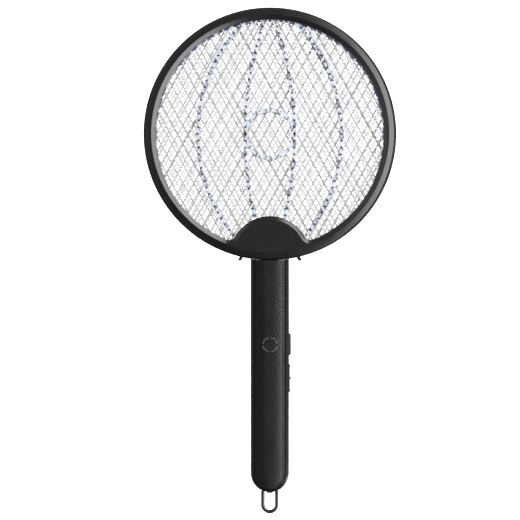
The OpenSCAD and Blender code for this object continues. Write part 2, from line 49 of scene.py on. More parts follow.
RIM_R, CHANNEL_R, HOLLOW_R, HOLLOW_FOOT_R = 111, 108.5, 32.6, 108.3
DIODES = (-11, 0, 11)


def on_head(x, up, front):
    """A point measured in millimetres from the head's centre, as the row frame has it."""
    return (x * MM, (HEAD_BACK - front) * MM, (HEAD_UP + up) * MM)


def moulded(name, colour, rough, shine=0.25, grain=0.5, depth=0.02, metal=0.0, uneven=0.12):
    """A moulded or worked surface: fine grain, slightly uneven colour and slightly uneven gloss."""
    finish = bpy.data.materials.new(name)
    finish.use_nodes = True
    nodes, links = finish.node_tree.nodes, finish.node_tree.links
    shader = nodes["Principled BSDF"]
    shader.inputs["Specular IOR Level"].default_value = shine
    shader.inputs["Metallic"].default_value = metal
    place = nodes.new("ShaderNodeTexCoord")
    cloud = nodes.new("ShaderNodeTexNoise")
    cloud.inputs["Scale"].default_value = 60
    cloud.inputs["Detail"].default_value = 5
    links.new(place.outputs["Object"], cloud.inputs["Vector"])
    tint = nodes.new("ShaderNodeMix")
    tint.data_type = "RGBA"
    tint.inputs["A"].default_value = [c * (1 - uneven) for c in colour] + [1]
    tint.inputs["B"].default_value = [min(1, c * (1 + uneven)) for c in colour] + [1]
    links.new(cloud.outputs["Fac"], tint.inputs["Factor"])
    links.new(tint.outputs["Result"], shader.inputs["Base Color"])
    gloss = nodes.new("ShaderNodeMapRange")
    gloss.inputs["From Min"].default_value = 0.3
    gloss.inputs["From Max"].default_value = 0.7
    gloss.inputs["To Min"].default_value = rough * 0.88
    gloss.inputs["To Max"].default_value = rough * 1.12
    links.new(cloud.outputs["Fac"], gloss.inputs["Value"])
    links.new(gloss.outputs["Result"], shader.inputs["Roughness"])
    sparks = nodes.new("ShaderNodeTexNoise")
    sparks.inputs["Scale"].default_value = 1 / (grain * MM)
    sparks.inputs["Detail"].default_value = 2
    links.new(place.outputs["Object"], sparks.inputs["Vector"])
    relief = nodes.new("ShaderNodeBump")
    relief.inputs["Strength"].default_value = 0.35
    relief.inputs["Distance"].default_value = depth * MM
    links.new(sparks.outputs["Fac"], relief.inputs["Height"])
    links.new(relief.outputs["Normal"], shader.inputs["Normal"])
    return finish


def add_skin(bm, rows, ring=True, loop=False, caps=False, finish=0):
    """Stretches faces over rows of points. A ring closes each row; a loop joins last row to first."""
    made = [[bm.verts.new(p) for p in row] for row in rows]
    count, length = len(made), len(made[0])
    faces = []
    for i in range(count if loop else count - 1):
        a, b = made[i], made[(i + 1) % count]
        for k in range(length if ring else length - 1):
            n = (k + 1) % length
            faces.append(bm.faces.new((a[k], a[n], b[n], b[k])))
    if caps:
        faces += [bm.faces.new(made[0]), bm.faces.new(made[-1])]
    for face in faces:
        face.material_index = finish
    return made


def set_piece(name, body, bm, finishes, stands_for=(), sharp=35, flats=False):
    """Makes the piece from its mesh, gives it its finishes, and fixes it to its body."""
    bmesh.ops.recalc_face_normals(bm, faces=bm.faces)
    mesh = bpy.data.meshes.new(name)
    bm.to_mesh(mesh)
    bm.free()
    part = bpy.data.objects.new(name, mesh)
    bpy.context.scene.collection.objects.link(part)
    for finish in finishes:
        mesh.materials.append(finish)
    soften(part, sharp, flats)
    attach(part, body)
    if stands_for:
        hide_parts(*stands_for)
    return part


def soften(part, sharp, flats):
    """Smooth shading with crisp edges where two faces meet at more than sharp degrees."""
    mesh = part.data
    mesh.polygons.foreach_set("use_smooth", [True] * len(mesh.polygons))
    mesh.set_sharp_from_angle(angle=math.radians(sharp))
    if flats and not part.modifiers:
        weighted = part.modifiers.new("flats", "WEIGHTED_NORMAL")
        weighted.keep_sharp = True
        weighted.weight = 90


def cutter(row_a, row_b):
    """A straight-sided tool between two outlines, for carving a piece."""
    bm = bmesh.new()
    add_skin(bm, [row_a, row_b], caps=True)
    bmesh.ops.recalc_face_normals(bm, faces=bm.faces)
    mesh = bpy.data.meshes.new("cutter")
    bm.to_mesh(mesh)
    bm.free()
    tool = bpy.data.objects.new("cutter", mesh)
    bpy.context.scene.collection.objects.link(tool)
    return tool


def carve(part, tools, sharp=35):
    """Cuts the tools out of a piece for good and removes them."""
    part.modifiers.clear()
    for tool in tools:
        bite = part.modifiers.new("bite", "BOOLEAN")
        bite.operation = "DIFFERENCE"
        bite.object = tool
        bite.solver = "EXACT"
    bpy.context.view_layer.update()
    cut = bpy.data.meshes.new_from_object(part.evaluated_get(bpy.context.evaluated_depsgraph_get()))
    part.modifiers.clear()
    spare, part.data = part.data, cut
    bpy.data.meshes.remove(spare)
    cut.name = part.name
    for tool in tools:
        bpy.data.objects.remove(tool)
    soften(part, sharp, True)


def arc(cx, cy, r, start, end, steps, last=False):
    """Points along an arc, and the way each one faces from the arc's centre."""
    turn = np.radians(np.linspace(start, end, steps, endpoint=last))
    out = np.stack([np.cos(turn), np.sin(turn)], 1)
    return np.array([cx, cy]) + r * out, out


# The opening's edge runs round the rim, through a fillet, over the boss and through a fillet
fillet_up = ((BOSS_R + FILLET) ** 2 - (RIM_EDGE - FILLET) ** 2 - BOSS_DROP ** 2) / (2 * BOSS_DROP)
fillet_x = math.sqrt((RIM_EDGE - FILLET) ** 2 - fillet_up ** 2)
rim_end = math.degrees(math.atan2(fillet_up, fillet_x))
boss_end = math.degrees(math.atan2(fillet_up + BOSS_DROP, fillet_x))
runs = [
    arc(0, 0, RIM_EDGE, rim_end, 180 - rim_end, 216),
    arc(-fillet_x, fillet_up, FILLET, 180 - rim_end, 360 - boss_end, 10),
    arc(0, -BOSS_DROP, BOSS_R, 180 - boss_end, boss_end, 44),
    arc(fillet_x, fillet_up, FILLET, 180 + boss_end, 360 + rim_end, 10),
]
edge = np.concatenate([run[0] for run in runs])
into = np.concatenate([runs[0][1], runs[1][1], -runs[2][1], runs[3][1]])
on_boss = np.concatenate([np.zeros(216), np.linspace(0, 1, 10, endpoint=False), np.ones(44),
                          np.linspace(1, 0, 10, endpoint=False)])[:, None]
turns = np.radians(np.concatenate([np.linspace(rim_end, 180 - rim_end, 216, endpoint=False),
                                   np.linspace(180 - rim_end, 360 + rim_end, 64, endpoint=False)]))
outward = np.stack([np.cos(turns), np.sin(turns)], 1)


def casing_half(name, side, node):
    """One half of the casing; side is 1 for the front and -1 for the rear."""
    bevel = 3.7 - 0.2 * on_boss
    channel = CHANNEL_R * outward * (1 - on_boss) + edge * on_boss
    shape = [
        (edge, 6.2), (edge, 8.3), (edge + 0.25 * into, 8.72),
        (edge + (bevel - 0.25) * into, 10.84), (edge + (bevel + 0.1) * into, 11),
        (104.25 * outward, 11), (104.5 * outward, 10.93), (108.35 * outward, 9.72),
        (108.7 * outward, 9.52), (110.5 * outward, 7.8), (110.9 * outward, 7.2),
        (RIM_R * outward, 6.4), (RIM_R * outward, 0.3), (110.75 * outward, 0),
        (channel, 0), (channel, 6.2 - 2.4 * on_boss[:, 0]),
    ]
    rows = []
    for plan, height in shape:
        heights = np.broadcast_to(height, len(plan))
        rows.append([on_head(p[0], p[1], side * h) for p, h in zip(plan, heights)])
    bm = bmesh.new()
    add_skin(bm, rows, loop=True)
    return set_piece(name, "head", bm, [shell_plastic], [node], sharp=25, flats=True)


def disc(x, up, r):
    return [(x + r * math.cos(2 * math.pi * k / 32), up + r * math.sin(2 * math.pi * k / 32))
            for k in range(32)]


def hollow(side):
    """The space inside the boss, behind its walls."""
    low = (HOLLOW_R ** 2 - HOLLOW_FOOT_R ** 2 - BOSS_DROP ** 2) / (2 * BOSS_DROP)
    reach = math.sqrt(HOLLOW_FOOT_R ** 2 - low ** 2)
    over = math.degrees(math.atan2(low + BOSS_DROP, reach))
    under = math.degrees(math.atan2(low, reach))
    top = arc(0, -BOSS_DROP, HOLLOW_R, over, 180 - over, 40, last=True)[0]
    foot = arc(0, 0, HOLLOW_FOOT_R, 180 - under, 360 + under, 24, last=True)[0]
    outline = list(top) + list(foot[1:-1])
    return cutter([on_head(x, u, -side) for x, u in outline],
                  [on_head(x, u, side * 8.5) for x, u in outline])


def diode_holes():
    """The holes through the boss's top wall, half in each casing, for the violet diodes."""
    return [cutter([on_head(x + a, -78, b) for a, b in disc(0, 0, 1.8)],
                   [on_head(x + a, -70, b) for a, b in disc(0, 0, 1.8)]) for x in DIODES]


def rear_pocket(outline, floor):
    """A pocket sunk from the back of the rear casing down to its floor."""
    return cutter([on_head(x, u, -12) for x, u in outline], [on_head(x, u, floor) for x, u in outline])


shell_plastic = moulded("charcoal_abs", (0.0023, 0.0023, 0.0025), 0.28, shine=0.2)
front_casing = casing_half("front_casing", 1, "head_front_frame")
carve(front_casing, [hollow(1)] + diode_holes(), sharp=25)
rear_casing = casing_half("rear_casing", -1, "head_rear_frame")
hinge_window = [(-13.4, -113), (13.4, -113), (13.4, -88), (-13.4, -88)]
carve(rear_casing, [hollow(-1)] + diode_holes() + [
    rear_pocket(hinge_window, 0.5), rear_pocket(disc(-23, -98, 2.5), -9), rear_pocket(disc(23, -98, 2.5), -9),
], sharp=25)


# ---------------------------------------------------------------- net spacers
# Two translucent violet-blue mouldings keep the nets apart. Each has a wall under the rim, four
# curved ribs and a centre ring. Small dark studs along the ribs poke through the nets' cells.
def make_glow(finish, colour, strength):
    """Light that a finish gives off: the diodes' own light, the white floor's, and painted light on the
    spacer walls.
    """
    shader = finish.node_tree.nodes["Principled BSDF"]
    shader.inputs["Emission Color"].default_value = (*colour, 1)
    shader.inputs["Emission Strength"].default_value = strength


RIB_PATHS = (((28, 92.7), (63.3, 0), (31.7, -89)), ((6.3, 94), (21.9, 0), (13.5, -71.2)))
STUD_EVERY, CENTRE_RING_R = 5.6, 21
spacer_wall_painted_glow = moulded("violet_wall_painted_glow", (0.012, 0.009, 0.06), 0.35, shine=0.2)
# The wall's violet glow is painted light: it stands in for the diodes' light falling on the wall, which is no
# lamp.
make_glow(spacer_wall_painted_glow, (0.10, 0.07, 0.55), 0.25)
rib_plastic = moulded("pale_rib", (0.185, 0.205, 0.24), 0.45, shine=0.3)
stud_plastic = moulded("dark_stud", (0.0015, 0.0015, 0.024), 0.5, shine=0.1)


def circle_through(p, q, s):
    """Centre and radius of the circle through three points."""
    a = 2 * np.array([[q[0] - p[0], q[1] - p[1]], [s[0] - p[0], s[1] - p[1]]])
    b = np.array([q[0] ** 2 + q[1] ** 2 - p[0] ** 2 - p[1] ** 2,
                  s[0] ** 2 + s[1] ** 2 - p[0] ** 2 - p[1] ** 2])
    centre = np.linalg.solve(a, b)
    return centre, float(np.hypot(*(np.array(p) - centre)))


def rib_line(p, q, s, mirror):
    """Points down the middle of a rib with the way across it, from the rim to the boss."""
    centre, r = circle_through(p, q, s)
    mid = math.atan2(q[1] - centre[1], q[0] - centre[0])
    line = []
    for way in (1, -1):
        turn, run = mid, []
        while True:
            out = np.array([math.cos(turn), math.sin(turn)])
            point = centre + r * out
            if np.hypot(*point) > 101.2 or np.hypot(point[0], point[1] + BOSS_DROP) < 34.5:
                break
            run.append((point, out))
            turn += way * 2.0 / r
        line = run[::-1] + line if way > 0 else line + run[1:]
    return [(pt * [mirror, 1], out * [mirror, 1]) for pt, out in line]


def add_studs(bm, line, side):
    """Oval studs along a rib's outer face."""
    walked, last = 0.0, line[0][0]
    for point, out in line:
        walked += float(np.hypot(*(point - last)))
        last = point
        if walked < STUD_EVERY:
            continue
        walked = 0.0
        along = np.array([-out[1], out[0]])
        rows = []
        for grow, height in ((1, 5.0), (0.98, 6.1), (0.85, 6.4), (0.3, 6.5)):
            rows.append([on_head(*(point + grow * (0.85 * math.cos(a) * along + 0.95 * math.sin(a) * out)),
                                 side * height) for a in np.linspace(0, 2 * math.pi, 10, endpoint=False)])
        add_skin(bm, rows, caps=True, finish=2)


def spacer(name, side, node):
    """One spacer; side is 1 for the front and -1 for the rear."""
    bm = bmesh.new()
    wall = [(100.45, 0.8), (100.75, 0.45), (108.2, 0.45), (108.2, 5.35), (100.75, 5.35), (100.45, 5.0)]
    add_skin(bm, [[on_head(r * math.cos(a), r * math.sin(a), side * h) for r, h in wall]
                  for a in np.radians(np.linspace(-69, 249, 180))], caps=True)
    strip = [(-1.75, 1.1), (-1.4, 0.72), (1.4, 0.72), (1.75, 1.1),
             (1.75, 4.7), (1.4, 5.1), (-1.4, 5.1), (-1.75, 4.7)]
    for mirror in (1, -1):
        for path in RIB_PATHS:
            line = rib_line(*path, mirror)
            add_skin(bm, [[on_head(*(pt + across * out), side * h) for across, h in strip]
                          for pt, out in line], caps=True, finish=1)
            add_studs(bm, line, side)
    round_ways = [np.array([math.cos(a), math.sin(a)])
                  for a in np.linspace(0, 2 * math.pi, 96, endpoint=False)]
    add_skin(bm, [[on_head(*(CENTRE_RING_R * out + across * out), side * h) for across, h in strip]
                  for out in round_ways], loop=True, finish=1)
    return set_piece(name, "head", bm, [spacer_wall_painted_glow, rib_plastic, stud_plastic], [node])


spacer("front_ribs", 1, "front_spacer")
spacer("rear_ribs", -1, "rear_spacer")


# ---------------------------------------------------------------- nets
# Three nets of bright aluminium, two outer ones and the live one between them. Each is two sets
# of slanted flat strands with painted shade, a darker grey finish, on their side chamfers, held in
# a flat hoop that is clamped under the rim.
net_metal = moulded("bright_net", (0.82, 0.825, 0.83), 0.22, shine=0.5, metal=0.965, uneven=0.04)
# This dark grey finish is painted shade: it stands in for the shaded sides of the strands along their
# chamfers.
painted_shade_edge = moulded("painted_shade_edge", (0.22, 0.22, 0.225), 0.6, shine=0.1)


def net(name, pitch, tall, shift, middle, width, node):
    """Strands at both slants, cut to the hoop and to the boss."""
    bm = bmesh.new()
    reach, gap = 107.2, 35.3
    size = math.hypot(pitch, tall)
    half, flat = width / 2, width / 2 - 0.2
    face, edge_top = 0.36, 0.16
    strip = [(flat, face), (half, edge_top), (half, -edge_top), (flat, -face),
             (-flat, -face), (-half, -edge_top), (-half, edge_top), (-flat, face)]
    painted_shade_faces = (0, 1, 2, 4, 5, 6)
    for lean in (1, -1):
        along = np.array([pitch, lean * tall]) / size
        across = np.array([-along[1], along[0]])
        height = middle + 0.02 * lean
        count = int(reach / (pitch * tall / size)) + 2
        for k in range(-count, count + 1):
            off = (k * pitch + shift) * across[0]
            if abs(off) > reach - 0.5:
                continue
            long = math.sqrt(reach ** 2 - off ** 2)
            pieces = [(-long, long)]
            foot = float(along @ np.array([0, -BOSS_DROP]))
            clear = abs(float(across @ np.array([0, -BOSS_DROP])) - off)
            if clear < gap:
                bite = math.sqrt(gap ** 2 - clear ** 2)
                pieces = [(-long, min(long, foot - bite)), (max(-long, foot + bite), long)]
            for start, end in pieces:
                if end - start < 2:
                    continue
                rows = []
                for t in np.linspace(start, end, max(2, int((end - start) / 30) + 1)):
                    point = along * t + across * off
                    rows.append([on_head(*(point + across * w), height + h) for w, h in strip])
                made = add_skin(bm, rows, caps=True)
                # The side chamfers get the painted shade finish.
                for j in painted_shade_faces:
                    for cut in {f for row in made for f in row[j].link_faces if row[(j + 1) % 8] in f.verts}:
                        cut.material_index = 1
    hoop = [(101.6, -0.3), (101.6, 0.3), (107.9, 0.38), (107.9, -0.38)]
    add_skin(bm, [[on_head(r * math.cos(a), r * math.sin(a), middle + h) for r, h in hoop]
                  for a in np.radians(np.linspace(-70, 250, 180))], caps=True)
    return set_piece(name, "head", bm, [net_metal, painted_shade_edge], [node], sharp=30)


net("front_net_strands", 9.6, 17.2, 0.0, 5.8, 1.65, "front_net")
net("live_net_strands", 7.5, 13.6, 2.0, 0.0, 1.0, "live_net")
net("rear_net_strands", 9.6, 17.2, 4.8, -5.8, 1.65, "rear_net")


# ---------------------------------------------------------------- violet diodes
# A small board screwed inside the boss carries three violet diodes, whose light comes up
# through the boss's top wall into the nets. Two leads feed it through the hinge.
def finish_cad(nodes, finish, rounding=0.0):
    """Gives CAD pieces that stay as they are their finish, and breaks their sharp edges."""
    for name in nodes:
        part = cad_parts[name]
        part.data.materials.clear()
        part.data.materials.append(finish)
        part.data.polygons.foreach_set("material_index", [0] * len(part.data.polygons))
        if rounding:
            weld = part.modifiers.new("weld", "WELD")
            weld.merge_threshold = 0.002 * MM
            broken = part.modifiers.new("broken_edges", "BEVEL")
            broken.width = rounding * MM
            broken.segments = 2
            broken.limit_method = "ANGLE"
            broken.angle_limit = math.radians(40)
            broken.harden_normals = False


board_green = moulded("board_mask", (0.010, 0.075, 0.030), 0.3, shine=0.5)
diode_glass = moulded("violet_diode", (0.42, 0.30, 0.85), 0.12, shine=0.5)
make_glow(diode_glass, (0.35, 0.18, 1), 1.5)
wire_red = moulded("lead_cover_red", (0.32, 0.012, 0.010), 0.4, shine=0.45)
finish_cad(["uv_led_board", "main_board"], board_green)
finish_cad(["uv_leds"], diode_glass)
finish_cad(["head_leads", "hinge_leads", "battery_leads"], wire_red)


# ---------------------------------------------------------------- hinge and screws
# The head folds back on a steel pin through a pressed bracket in the rear casing and a tongue
# that is screwed inside the handle. All of it is plated steel, and the screws are blackened.
plated_steel = moulded("plated_steel", (0.27, 0.275, 0.285), 0.28, shine=0.5, grain=0.25,
                       metal=1.0, uneven=0.08)
screw_black = moulded("blackened_steel", (0.055, 0.055, 0.06), 0.32, shine=0.5, grain=0.25, metal=1.0)
finish_cad(["hinge_bracket", "hinge_tongue"], plated_steel, 0.25)
finish_cad(["hinge_pin", "battery_tabs", "usb_c_socket"], plated_steel)
finish_cad(["head_screws", "handle_screws", "bracket_screws", "tongue_screws", "board_screws"],
           screw_black)


# ---------------------------------------------------------------- stand feet
# Two splayed feet are moulded on the bottom of the rim. The folded head stands on them.
CORNER = 0.6


def add_foot(bm, mirror):
    """One splayed foot with rounded corners and its root inside the casing."""
    rows = []
    for x_in, x_out, up, half in ((22.6, 25.9, -105.5, 6), (23.6, 26.8, -108.2, 6),
                                  (24.6, 27.9, -110.2, 6), (25.1, 28.4, -111.05, 5.9),
                                  (25.5, 28.2, -111.28, 5.6)):
        corners = []
        for sx, sy in ((1, 1), (-1, 1), (-1, -1), (1, -1)):
            for a in (0, 30, 60, 90):
                a = math.radians(a)
                c, s = (math.cos(a), math.sin(a)) if sx * sy > 0 else (math.sin(a), math.cos(a))
                x = (x_in + x_out) / 2 + sx * ((x_out - x_in) / 2 - CORNER + CORNER * c)
                corners.append((mirror * x, sy * (half - CORNER + CORNER * s)))
        rows.append([on_head(x, up, z) for x, z in corners])
    add_skin(bm, rows, caps=True)


feet = bmesh.new()
add_foot(feet, 1)
add_foot(feet, -1)
black_plastic = moulded("black_plastic", (0.0020, 0.0020, 0.0022), 0.38, shine=0.2)
set_piece("stand_foot_pair", "head", feet, [black_plastic], ["stand_feet"], sharp=40)


# ---------------------------------------------------------------- handle shells
# Front and rear shells in the same charcoal ABS, crowned across, with a round domed end and a
# hollowed top that follows the rim. They meet behind the middle and are screwed from the back.
HALF, END_UP, SEAM = 17.0, -84.0, 4.0
LIP, PLATE_R, PLATE_HALF, PLATE_T = 0.05, 111.4, 13.9, 2.6
INNER, PLATE_FIT = 0.835, 0.87


def on_handle(x, back, up):
    """A point measured in millimetres from the grip's centre."""
    return (x * MM, back * MM, up * MM)


def front_at(x):
    """How far back the crowned front lies at a distance x from the middle line."""
    return SEAM - 17 * (1 - np.minimum(np.abs(x) / HALF, 1) ** 3.2) ** (1 / 3.2)


def rear_at(x):
    return SEAM + 9 * (1 - np.minimum(np.abs(x) / HALF, 1) ** 4.0) ** (1 / 4.0)


def swept(profile, sides, ends, gap=1.0):
    """A profile carried down the right side, round the end and up the left side of the handle."""
    rho, back = np.array(profile, float).T
    top = HEAD_UP - np.sqrt((RIM_R + np.where(back < 0, LIP, gap)) ** 2 - rho ** 2)
    rows = []
    for t in np.linspace(0, 1, sides, endpoint=False):
        rows.append(np.stack([rho, back, top + (END_UP - top) * t], 1))
    for a in np.radians(np.linspace(0, 180, ends + 1)):
        rows.append(np.stack([rho * math.cos(a), back, END_UP - rho * math.sin(a)], 1))
    for t in np.linspace(1, 0, sides + 1)[1:]:
        rows.append(np.stack([-rho, back, top + (END_UP - top) * t], 1))
    return [row * MM for row in rows]


def shell(name, outer, inner, top_plate, node):
    """A handle shell from its outer and inner profile, with the curved plate that closes its top."""
    bm = bmesh.new()
    made = add_skin(bm, swept(outer + inner[::-1], 12, 40), ring=False)
    n, total = len(outer), len(outer) + len(inner)
    for row in (made[0], made[-1]):
        for k in range(n - 1):
            bm.faces.new((row[k], row[k + 1], row[total - 2 - k], row[total - 1 - k]))
    bmesh.ops.remove_doubles(bm, verts=bm.verts, dist=0.01 * MM)
    bmesh.ops.dissolve_degenerate(bm, edges=bm.edges, dist=0.005 * MM)
    columns = []
    for x in np.linspace(-PLATE_HALF, PLATE_HALF, 33):
        top = HEAD_UP - math.sqrt(PLATE_R ** 2 - x ** 2)
        near, far = top_plate(x)
        columns.append([on_handle(x, near, top), on_handle(x, far, top),
                        on_handle(x, far, top - PLATE_T), on_handle(x, near, top - PLATE_T)])
    add_skin(bm, columns, caps=True)
    return set_piece(name, "handle", bm, [shell_plastic], [node], flats=True)


def pill(z, back, length, width):
    """Outline of a flat bar with round ends, long way up the handle, as (y, z) points."""
    half = (length - width) / 2
    turn = np.radians(np.linspace(0, 180, 13))
    upper = [(back + width / 2 * math.cos(a), z + half + width / 2 * math.sin(a)) for a in turn]
    lower = [(back - width / 2 * math.cos(a), z - half - width / 2 * math.sin(a)) for a in turn]
    return upper + lower


def side_hole(outline, x0, x1):
    return cutter([on_handle(x0, y, z) for y, z in outline], [on_handle(x1, y, z) for y, z in outline])


def box_hole(x, y, z):
    corners = [(x[0], y[0]), (x[1], y[0]), (x[1], y[1]), (x[0], y[1])]
    return cutter([on_handle(a, b, z[0]) for a, b in corners], [on_handle(a, b, z[1]) for a, b in corners])


def screw_well(x, z):
    """A round well in the handle's back, for a screw's head."""
    return cutter([on_handle(a, 8, b) for a, b in disc(x, z, 2.5)],
                  [on_handle(a, 15, b) for a, b in disc(x, z, 2.5)])


border = [HALF * math.cos(t) ** (2 / 3.2) for t in np.radians(np.linspace(47, 6, 14))]
front_outer = [(r, float(front_at(r)) + 1.4) for r in np.linspace(0, 13.2, 9)]
front_outer += [(13.8, float(front_at(13.8)) + 1.45), (13.85, float(front_at(13.85)) + 0.3)]
front_outer += [(14.0, float(front_at(14.0)) + 0.05)] + [(r, float(front_at(r))) for r in border if r > 14.1]
front_outer += [(HALF, SEAM - 0.9), (HALF, SEAM - 0.3), (16.75, SEAM)]
front_inner = [(r * INNER, SEAM - INNER * (SEAM - (float(front_at(min(r, HALF))) if y < SEAM - 0.95 else y)))
               for r, y in front_outer]


def front_plate(x):
    return SEAM - 0.9 * (SEAM - float(front_at(x / PLATE_FIT))), SEAM - 0.05


def rear_plate(x):
    return SEAM + 0.05, SEAM + 0.75 * (float(rear_at(x / PLATE_FIT)) - SEAM)


handle_front = shell("handle_front", front_outer, front_inner, front_plate, "handle_front_shell")
tongue_slot = ((-8.2, 8.2), (-1.2, 7.2), (96, 108))
loop_slot = ((-8.6, 8.6), (-5.7, 5.7), (-104, -96))
carve(handle_front, [
    side_hole(pill(30, -1, 20, 7.2), 12, 19), side_hole(pill(0, -1, 20.6, 5), 12, 19),
    side_hole(pill(0, -3.4, 9.6, 3.8), -19, -12), box_hole(*tongue_slot), box_hole(*loop_slot),
])

rear_edge = [HALF * math.cos(t) ** (2 / 4.0) for t in np.radians(np.linspace(88, 7, 20))]
rear_outer = [(0.0, float(rear_at(0)))] + [(r, float(rear_at(r))) for r in rear_edge]
rear_outer += [(HALF, SEAM + 0.9), (HALF, SEAM + 0.3), (16.75, SEAM)]
rear_inner = [(r * INNER, SEAM + 0.689 * (y - SEAM)) for r, y in rear_outer]
handle_rear = shell("handle_rear", rear_outer, rear_inner, rear_plate, "handle_rear_shell")
carve(handle_rear, [box_hole(*tongue_slot), box_hole(*loop_slot),
                    screw_well(-9, 73), screw_well(9, 73), screw_well(0, -88)])


# ---------------------------------------------------------------- grip panel
# A soft rubber panel is moulded over the front shell. Its field has a fine slanted leather
# grain, and a raised, notched bead runs inside its edge, down both sides and round the end.
grip_rubber = moulded("grip_rubber", (0.0009, 0.0009, 0.0010), 0.36, shine=0.12)


def leather_grain(finish, pitch, depth):
    """Adds close slanted pebbles to a finish, over its fine grain."""
    nodes, links = finish.node_tree.nodes, finish.node_tree.links
    place = nodes.new("ShaderNodeTexCoord")
    turn = nodes.new("ShaderNodeMapping")
    turn.inputs["Rotation"].default_value = (math.radians(90), 0, 0)
    slant = nodes.new("ShaderNodeMapping")
    slant.inputs["Rotation"].default_value = (0, 0, math.radians(42))
    links.new(place.outputs["Object"], turn.inputs["Vector"])
    links.new(turn.outputs["Vector"], slant.inputs["Vector"])
    pebbles = nodes.new("ShaderNodeTexVoronoi")
    pebbles.voronoi_dimensions = "2D"
    pebbles.inputs["Scale"].default_value = 1 / (pitch * MM)
    pebbles.inputs["Randomness"].default_value = 0.45
    links.new(slant.outputs["Vector"], pebbles.inputs["Vector"])
    crown = nodes.new("ShaderNodeMapRange")
    crown.interpolation_type = "SMOOTHSTEP"
    crown.inputs["From Min"].default_value = 0.15
    crown.inputs["From Max"].default_value = 0.65
    crown.inputs["To Min"].default_value = 1
    crown.inputs["To Max"].default_value = 0
    links.new(pebbles.outputs["Distance"], crown.inputs["Value"])
    raised = nodes.new("ShaderNodeBump")
    raised.inputs["Strength"].default_value = 0.8
    raised.inputs["Distance"].default_value = depth * MM
    links.new(crown.outputs["Result"], raised.inputs["Height"])
    fine = next(n for n in nodes if n.type == "BUMP" and n != raised)
    links.new(raised.outputs["Normal"], fine.inputs["Normal"])


leather_grain(grip_rubber, 1.8, 0.25)
PANEL_GAP = 1.5
sunk = [(r, 0.0) for r in np.linspace(0, 10.7, 16)]
sunk += [(10.9, 0.12), (11.1, 0.3), (11.35, 0.22), (13.1, 0.15), (13.5, 0.3), (13.55, 1.2)]
sunk += [(r, 1.36) for r in (13.3, 11, 8.5, 6, 3, 0)]
panel = bmesh.new()
panel_profile = [(r, float(front_at(r)) + depth) for r, depth in sunk]
made = add_skin(panel, swept(panel_profile, 60, 48, gap=PANEL_GAP), ring=False)
panel.faces.new(made[0])
panel.faces.new(made[-1])
bmesh.ops.remove_doubles(panel, verts=panel.verts, dist=0.01 * MM)
bmesh.ops.dissolve_degenerate(panel, edges=panel.edges, dist=0.005 * MM)
bead_at = np.linspace(11.45, 13.2, 7)
rho = np.concatenate([[11.2], bead_at, [13.4], [12.3]])
bead_rows = swept([(r, 0.0) for r in rho], 540, 150, gap=PANEL_GAP)
for i, row in enumerate(bead_rows):
    notch = 0.64 + 0.36 * math.cos(math.pi * i / 2)
    crown = 0.52 * notch * np.sin(np.pi * (bead_at - 11.3) / 2.05) - 0.05
    row[:, 1] = (front_at(rho) - np.concatenate([[-0.5], crown, [-0.5], [-0.9]])) * MM
add_skin(panel, bead_rows, caps=True)
set_piece("grip_pad", "handle", panel, [grip_rubber], ["grip_panel"], sharp=50)


# ---------------------------------------------------------------- light ring and indicators
# Four translucent arcs are pressed into the panel as a ring, with a small dark stud between
# each two. Two dark indicator lenses lie below it.
RING_UP, RING_R = 30, 6.2
light_guide = moulded("light_guide", (0.014, 0.016, 0.017), 0.4, shine=0.3)
dark_lens = moulded("dark_lens", (0.0006, 0.0006, 0.0007), 0.3, shine=0.06)


def proud(x, z, lift):
    """A point that stands lift millimetres in front of the panel."""
    return on_handle(x, float(front_at(x)) - lift, z)


def dome(bm, x, z, r, lift):
    """A low round dome whose root is sunk into the panel."""
    rows = [[proud(x + g * r * math.cos(a), z + g * r * math.sin(a), h)
             for a in np.linspace(0, 2 * math.pi, 20, endpoint=False)]
            for g, h in ((1, -0.8), (1, lift * 0.3), (0.85, lift * 0.75), (0.5, lift * 0.95), (0.12, lift))]
    add_skin(bm, rows, caps=True)


arcs = bmesh.new()
for quarter in range(4):
    band = [(5.62, -0.9), (5.62, 0.03), (5.8, 0.1), (6.6, 0.1), (6.78, 0.03), (6.78, -0.9)]
    spread = np.radians(np.linspace(90 * quarter + 8.5, 90 * quarter + 81.5, 20))
    add_skin(arcs, [[proud(r * math.cos(a), RING_UP + r * math.sin(a), h) for r, h in band]
                    for a in spread], caps=True)
set_piece("ring_arcs", "handle", arcs, [light_guide], ["ring_light"])
studs = bmesh.new()
for a in range(4):
    turn = a * math.pi / 2
    dome(studs, RING_R * math.cos(turn), RING_UP + RING_R * math.sin(turn), 0.72, 0.14)
set_piece("ring_studs", "handle", studs, [dark_lens], ["ring_spacers"])
lenses = bmesh.new()
for z in (15.5, 11.8):
    dome(lenses, 0, z, 0.7, 0.12)
set_piece("lens_pair", "handle", lenses, [dark_lens], ["indicator_lenses"])


# ---------------------------------------------------------------- press button
# A long black button in the handle's right side, crowned across, that presses in on the push
# switch behind it. A flange inside the shell keeps it from falling out.
def pill_rows(z, back, length, width, steps):
    """Pill outlines stacked outwards: each step is (distance in from the outline, x)."""
    return [[on_handle(x, y, h) for y, h in pill(z, back, length - 2 * cut, width - 2 * cut)]
            for cut, x in steps]


button = bmesh.new()
crowned = ((0, 13.9), (0, 17.75), (0.12, 18.1), (0.4, 18.35), (0.95, 18.52), (1.8, 18.6), (2.9, 18.6))
add_skin(button, pill_rows(30, -1, 19.3, 6.5, crowned), caps=True)
add_skin(button, pill_rows(30, -1, 21.9, 7.4, ((0.2, 13), (0, 13.2), (0, 13.8), (0.2, 14))), caps=True)
set_piece("power_button", "button", button, [black_plastic], ["side_button"])


